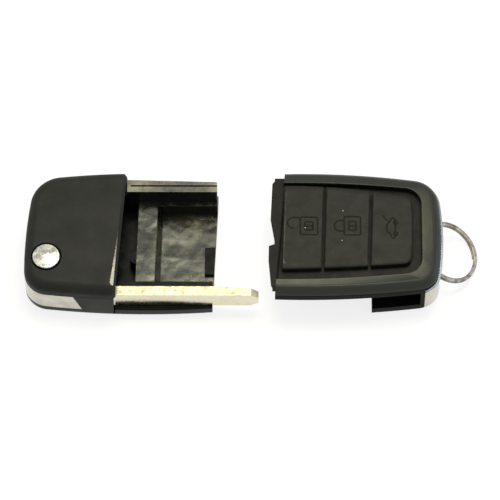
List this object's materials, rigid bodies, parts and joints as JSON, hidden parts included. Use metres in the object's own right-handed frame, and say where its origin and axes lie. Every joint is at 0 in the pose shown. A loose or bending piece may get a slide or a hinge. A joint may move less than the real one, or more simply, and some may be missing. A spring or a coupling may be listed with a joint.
{
  "type": "flip key shell",
  "caption": "Flip key shell pulled apart: head half with folding blade, release button and tray, remote half with keypad, end trim and split ring.",
  "frame": {"origin": "on the back face of the head half, on the axis that the release button and the blade's hub share", "axes": "+X from the head half to the remote half and its ring, +Y across the shell, away from the blade's side, +Z out of the key side, so the shell lies on its back face at Z 0"},
  "size_m": [0.1314, 0.0399, 0.0173],
  "materials": {
    "cover_plastic": "fine moulded grain, matte dark grey",
    "base_plastic": "moulded gloss black",
    "case_plastic": "satin black",
    "mat_rubber": "silicone sheet",
    "key_rubber": "soft matte, worn pale at the edges",
    "button_chrome": "bright plated",
    "trim_chrome": "bright plated",
    "blade_nickel": "nickel plated, uncut",
    "ring_nickel": "nickel plated spring steel",
    "spring_steel": "drawn wire",
    "zinc_steel": "zinc plated"
  },
  "bodies": {
    "head": {"head_cover": "cover_plastic", "head_base": "base_plastic", "back_cap": "base_plastic", "flip_spring": "spring_steel"},
    "button": {"release_button": "button_chrome", "button_washer": "zinc_steel", "button_screw": "zinc_steel"},
    "blade": {"blade_hub": "base_plastic", "key_blade": "blade_nickel", "blade_roll_pin": "spring_steel", "hub_trim": "trim_chrome"},
    "remote": {"remote_top_case": "case_plastic", "remote_lower_case": "base_plastic", "keypad_frame": "case_plastic", "keypad_mat": "mat_rubber", "end_trim": "trim_chrome", "ring_post": "zinc_steel"},
    "unlock_key": {"key_unlock": "key_rubber"},
    "lock_key": {"key_lock": "key_rubber"},
    "boot_key": {"key_boot": "key_rubber"},
    "ring": {"split_ring": "ring_nickel"}
  },
  "joints": [
    {"name": "remote_slide", "type": "slide", "parent": "head", "child": "remote", "axis": [1, 0, 0], "range_m": [-0.0458, 0]},
    {"name": "blade_flip", "type": "hinge", "parent": "head", "child": "blade", "pos_m": [0, 0, 0.0078], "axis": [0, 0, 1], "range_deg": [-180, 0]},
    {"name": "button_press", "type": "slide", "parent": "head", "child": "button", "axis": [0, 0, -1], "range_m": [0, 0.0014], "stiffness_N_per_m": 400, "springref_m": -0.0005, "deforming": ["flip_spring"]},
    {"name": "unlock_press", "type": "slide", "parent": "remote", "child": "unlock_key", "axis": [0, 0, -1], "range_m": [0, 0.0004], "stiffness_N_per_m": 400, "springref_m": -0.0002},
    {"name": "lock_press", "type": "slide", "parent": "remote", "child": "lock_key", "axis": [0, 0, -1], "range_m": [0, 0.0004], "stiffness_N_per_m": 400, "springref_m": -0.0002},
    {"name": "boot_press", "type": "slide", "parent": "remote", "child": "boot_key", "axis": [0, 0, -1], "range_m": [0, 0.0004], "stiffness_N_per_m": 400, "springref_m": -0.0002},
    {"name": "ring_swing", "type": "hinge", "parent": "remote", "child": "ring", "pos_m": [0.1115, 0.007, 0.0072], "axis": [0, 0, 1], "range_deg": [-10, 10]}
  ]
}
